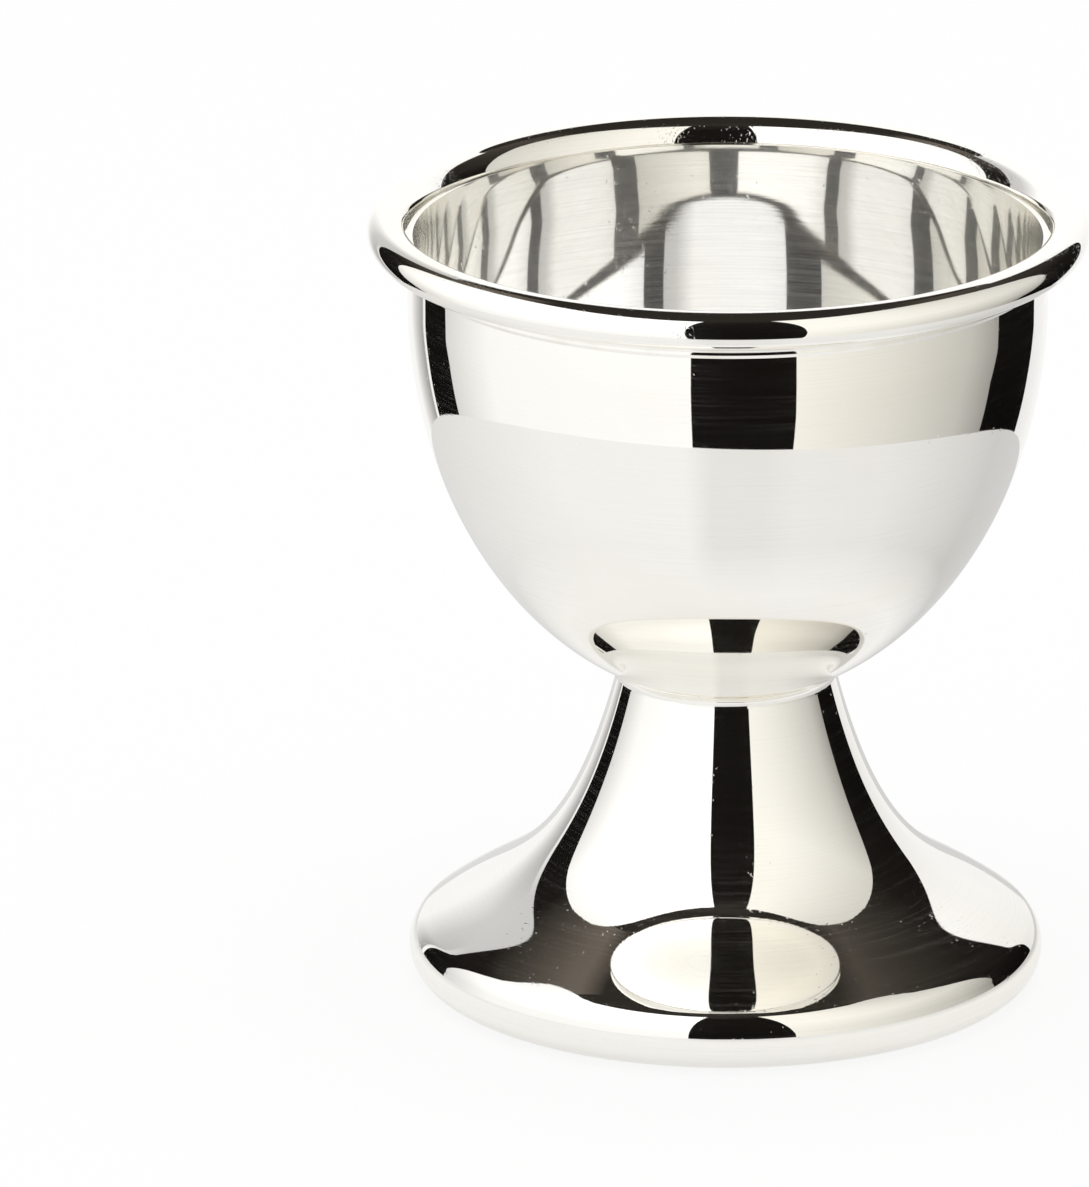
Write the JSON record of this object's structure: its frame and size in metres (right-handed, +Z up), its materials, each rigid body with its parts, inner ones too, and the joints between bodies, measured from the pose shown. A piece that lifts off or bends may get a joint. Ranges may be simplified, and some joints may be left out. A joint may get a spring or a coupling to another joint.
{
  "type": "egg cup",
  "caption": "Egg cup: a round-bottomed metal bowl with a wired rim, soldered to a hollow trumpet-shaped foot with a rolled edge.",
  "frame": {"origin": "centre of the base, on the plane that the foot rests on", "axes": "+Z up along the axis of the cup; the cup is round about it, so +X and +Y are any two level directions"},
  "size_m": [0.048, 0.048, 0.0534],
  "materials": {
    "bowl_silver": "silver plate: mirror polish outside, fine satin turned inside",
    "rim_silver": "silver plate, mirror polish",
    "foot_silver": "silver plate: mirror polish outside, duller underneath",
    "solder": "plated silver solder, polished but slightly uneven"
  },
  "bodies": {
    "root": {"bowl": "bowl_silver", "rim_wire": "rim_silver", "rim_solder": "solder", "foot": "foot_silver", "neck_solder": "solder"}
  },
  "joints": []
}
